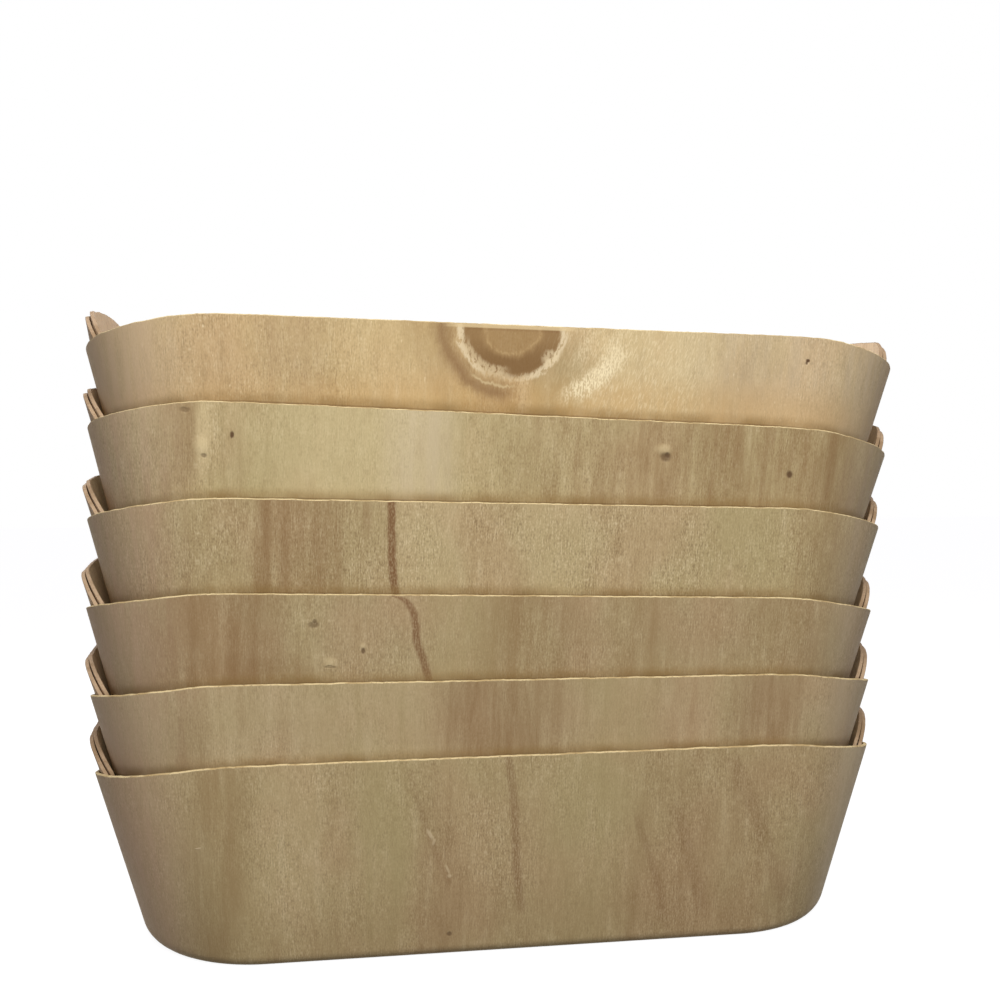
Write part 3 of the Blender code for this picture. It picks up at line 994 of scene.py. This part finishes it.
def wallVeneer(number):
    look = {**veneerLook, **basketLooks[number]}
    material, tree = newMaterial(f"wall veneer {number}")
    sheetMap = sheetPlace(tree)
    colour, relief, fibres, narrow = veneerColour(tree, sheetMap, number, look)
    fuzzy = wavered(tree, sheetMap, *markMaps["fuzzy"], (number, 3, 2))
    fuzzy = wavered(tree, fuzzy, *markMaps["fuzzySlow"], (number, 6, 2))
    edgy = wavered(tree, sheetMap, *markMaps["edgy"], (number, 3, 2))

    def lay(mask, shade, strength):
        return tint(tree, colour, look[shade], times(tree, mask, strength))

    for shade, *place, strength in allShades(look):
        mask = blot(tree, fuzzy if place[2] > crispWidth else edgy, *place, 1.1)
        colour = lay(times(tree, mask, ramp(tree, narrow, 0.3, 0.7, 0.6, 1.25)), shade, strength)
    for *points, width, strength in look.get("lines", ()):
        mask = times(tree, drawnLine(tree, edgy, points, width), ramp(tree, fibres, 0.35, 0.6, 0.7, 1.1))
        colour = lay(mask, "stain", strength)
    if "horseshoe" in look:
        colour = horseshoeKnot(tree, colour, sheetMap, look)
    # pale swirls: painted sheen where the figured grain catches the light
    for *place, strength in look.get("sheenSwirls", ()):
        feathery = wavered(tree, edgy, *markMaps["feathery"], (2, 8, 1))
        mask = blot(tree, feathery, *place, 1.4)
        colour = lay(times(tree, mask, ramp(tree, fibres, 0.42, 0.56, 1, 0.3)), "fibrePale", strength)
    # pale streaks: painted sheen of the figured grain
    if "streaks" in look:
        *place, lean, strength = look["streaks"]
        turned = mapped(tree, sheetMap, turn=math.radians(lean))
        dashes = ramp(tree, grainNoise(tree, turned, (2600, 430, 1), (6, 6, 1), 2), 0.5, 0.64)
        mask = blot(tree, fuzzy, *place, 0, 1.2)
        colour = lay(times(tree, mask, dashes), "fibrePale", strength)
    for *place, strength in look.get("scars", ()):
        mask = blot(tree, edgy, *place, 0.9)
        colour = lay(mask, "cutEdge", strength)
        relief = plus(tree, relief, mask)
    # raised spots: real relief, painted pale as a painted highlight
    for *place, lift in look.get("knobs", ()):
        mask = blot(tree, sheetMap, *place, 0, 1.6)
        colour = lay(mask, "fair", 0.45)
        relief = plus(tree, relief, times(tree, mask, 4 * lift))
    for *place, strength in look.get("pinKnots", ()):
        mask = blot(tree, edgy, *place, 0, 0.9)
        colour = lay(mask, "knot", strength)
        relief = plus(tree, relief, times(tree, mask, -2.0))
    # painted shade above the rim of the basket below
    if number > 1:
        colour = paintedRimShade(tree, colour, sheetMap, number)
    colour = wornEdge(tree, colour, sheetMap, number)
    closeMaterial(tree, colour, relief, fibres, "wallRoughness")
    return material


liningLook = {
    "wood": paint(222, 197, 162), "heart": paint(190, 158, 120), "olive": paint(206, 185, 146),
    "rosy": paint(216, 184, 150), "bands": 0.25, "grain": 0.24,
}
plyLook = {"wood": paint(184, 156, 122), "bands": 0.3, "grain": 0.3}


def innerVeneer(name, number, look, turn, seed, roughness):
    material, tree = newMaterial(f"{name} veneer {number}")
    sheetMap = sheetPlace(tree)
    grainMap = mapped(tree, sheetMap, turn=turn)
    colour, relief, fibres, _ = veneerColour(tree, grainMap, number + seed, {**veneerLook, **look})
    colour = wornEdge(tree, colour, sheetMap, number)
    closeMaterial(tree, colour, relief, fibres, roughness)
    return material


cutEdgeLook = {
    "rim": (paint(226, 206, 158), paint(182, 156, 108)),
    # painted shade: the ears' cut edges are the rim's end grain painted darker
    "ear": (paint(184, 158, 128), paint(150, 124, 94)),
    "pore": paint(134, 104, 72),
    "speckleWaves": (1500, 1500, 1500),
    "slowWaves": (150, 150, 60),
}


def cutEdgeWood(kind):
    # sheared end grain: open fibre ends with a few darker pores
    pale, dark = cutEdgeLook[kind]
    material, tree = newMaterial(kind + " cut edge")
    place = addNode(tree, "ShaderNodeTexCoord").outputs["Object"]
    speckle = grainNoise(tree, place, cutEdgeLook["speckleWaves"], (0, 0, 0), 3)
    slow = grainNoise(tree, place, cutEdgeLook["slowWaves"], (4, 1, 2), 3)
    colour = tint(tree, pale, dark, ramp(tree, slow, 0.42, 0.64, 0, 0.8))
    colour = tint(tree, colour, cutEdgeLook["pore"], ramp(tree, speckle, 0.55, 0.7, 0, 0.5))
    closeMaterial(tree, colour, speckle, speckle, "cutEdgeRoughness")
    return material


studio = {
    "cameraPlace": (-0.0455, -0.3499, 0.1212),
    "cameraTurn": (82.586, 0.489, -8.188),
    "lens": 42.37,
    "sensorWidth": 36,
    "clipStart": 0.01,
    "frameRise": 0.1426,
    "keyPlace": (-0.01, -0.40, 0.44),
    "keySize": 0.2,
    "keyPower": 2.5,
    "keyColour": (1.0, 0.99, 0.95),
    "fillPlace": (-0.14, 0.42, 0.40),
    "fillSize": 0.3,
    "fillPower": 1.7,
    "fillColour": (1.0, 0.98, 0.96),
    "lampAim": (0, 0, 0.09),
    "skyColour": (0.97, 0.90, 1.14),
    "skyStrength": 0.225,
    "floorReach": 4,
    "floorGrey": 0.2,
    "floorWhite": 0.95,
}


def seenDirectly(tree):
    # 1 for what the camera sees, straight or in gloss or through glass
    path = addNode(tree, "ShaderNodeLightPath").outputs
    seen = maths(tree, "MAXIMUM", path["Is Camera Ray"], path["Is Glossy Ray"])
    return maths(tree, "MAXIMUM", seen, path["Is Transmission Ray"])


def addCamera():
    camera = addObject("camera", bpy.data.cameras.new("camera"))
    camera.location = studio["cameraPlace"]
    camera.rotation_euler = [math.radians(turn) for turn in studio["cameraTurn"]]
    camera.data.sensor_width = studio["sensorWidth"]
    camera.data.lens = studio["lens"]
    camera.data.shift_y = studio["frameRise"]
    camera.data.clip_start = studio["clipStart"]
    bpy.context.scene.camera = camera


def addLamp(name):
    lamp = bpy.data.lights.new(name, "AREA")
    lamp.shape = "SQUARE"
    lamp.size = studio[name + "Size"]
    lamp.energy = studio[name + "Power"]
    lamp.color = studio[name + "Colour"]
    holder = addObject(name, lamp)
    holder.location = studio[name + "Place"]
    toward = Vector(studio["lampAim"]) - holder.location
    holder.rotation_euler = toward.to_track_quat("-Z", "Y").to_euler()


def addSky():
    world = bpy.data.worlds.new("studio")
    bpy.context.scene.world = world
    world.use_nodes = True
    tree = world.node_tree
    tree.nodes.clear()
    sky = (*studio["skyColour"], 1)
    light = addNode(tree, "ShaderNodeBackground", {"Color": sky, "Strength": studio["skyStrength"]})
    white = addNode(tree, "ShaderNodeBackground", {"Color": (1, 1, 1, 1), "Strength": 1})
    shades = {0: seenDirectly(tree), 1: light.outputs[0], 2: white.outputs[0]}
    mix = addNode(tree, "ShaderNodeMixShader", shades)
    addNode(tree, "ShaderNodeOutputWorld", {"Surface": mix.outputs[0]})


def addFloor():
    sheet = bmesh.new()
    bmesh.ops.create_grid(sheet, x_segments=1, y_segments=1, size=studio["floorReach"])
    mesh = bpy.data.meshes.new("studio floor")
    sheet.to_mesh(mesh)
    sheet.free()
    floor = addObject("studio_floor", mesh)
    material, tree = newMaterial("studio floor")
    grey = studio["floorGrey"]
    cloth = addNode(tree, "ShaderNodeBsdfDiffuse", {"Color": (grey, grey, grey, 1)})
    glow = times(tree, seenDirectly(tree), studio["floorWhite"])
    white = addNode(tree, "ShaderNodeEmission", {"Strength": glow})
    both = addNode(tree, "ShaderNodeAddShader", {0: cloth.outputs[0], 1: white.outputs[0]})
    addNode(tree, "ShaderNodeOutputMaterial", {"Surface": both.outputs[0]})
    mesh.materials.append(material)


def placePiece(piece, body, node):
    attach(piece, body)
    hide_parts(node)


print("studio: camera, lamp, sky and floor")
addCamera()
addLamp("key")
addLamp("fill")  # lights the back and the inside, and nothing of the front
addSky()
addFloor()
bpy.context.scene.view_settings.view_transform = "Standard"

rimWood = cutEdgeWood("rim")
shadedEarEdgeWood = cutEdgeWood("ear")
for number, seat in enumerate(placeMatrices(), start=1):
    print("basket", number)
    name = f"basket{number}"
    wall = buildWallSheet(number, seat, (wallVeneer(number), rimWood))
    placePiece(wall, name, f"{name}_wall_sheet")
    # the lining's grain runs lengthwise
    liningWood = innerVeneer("lining", number, liningLook, math.pi / 2, 20, "wallRoughness")
    lining = buildLiningStrip(number, seat, (liningWood, shadedEarEdgeWood))
    placePiece(lining, name, f"{name}_lining_strip")
    plyWood = innerVeneer("ear ply", number, plyLook, 0, 40, "plyRoughness")
    for end, side in ((1, "right"), (-1, "left")):
        ply = buildEndPly(number, end, seat, (plyWood, shadedEarEdgeWood))
        placePiece(ply, name, f"{name}_{side}_end_ply")

print("finished")
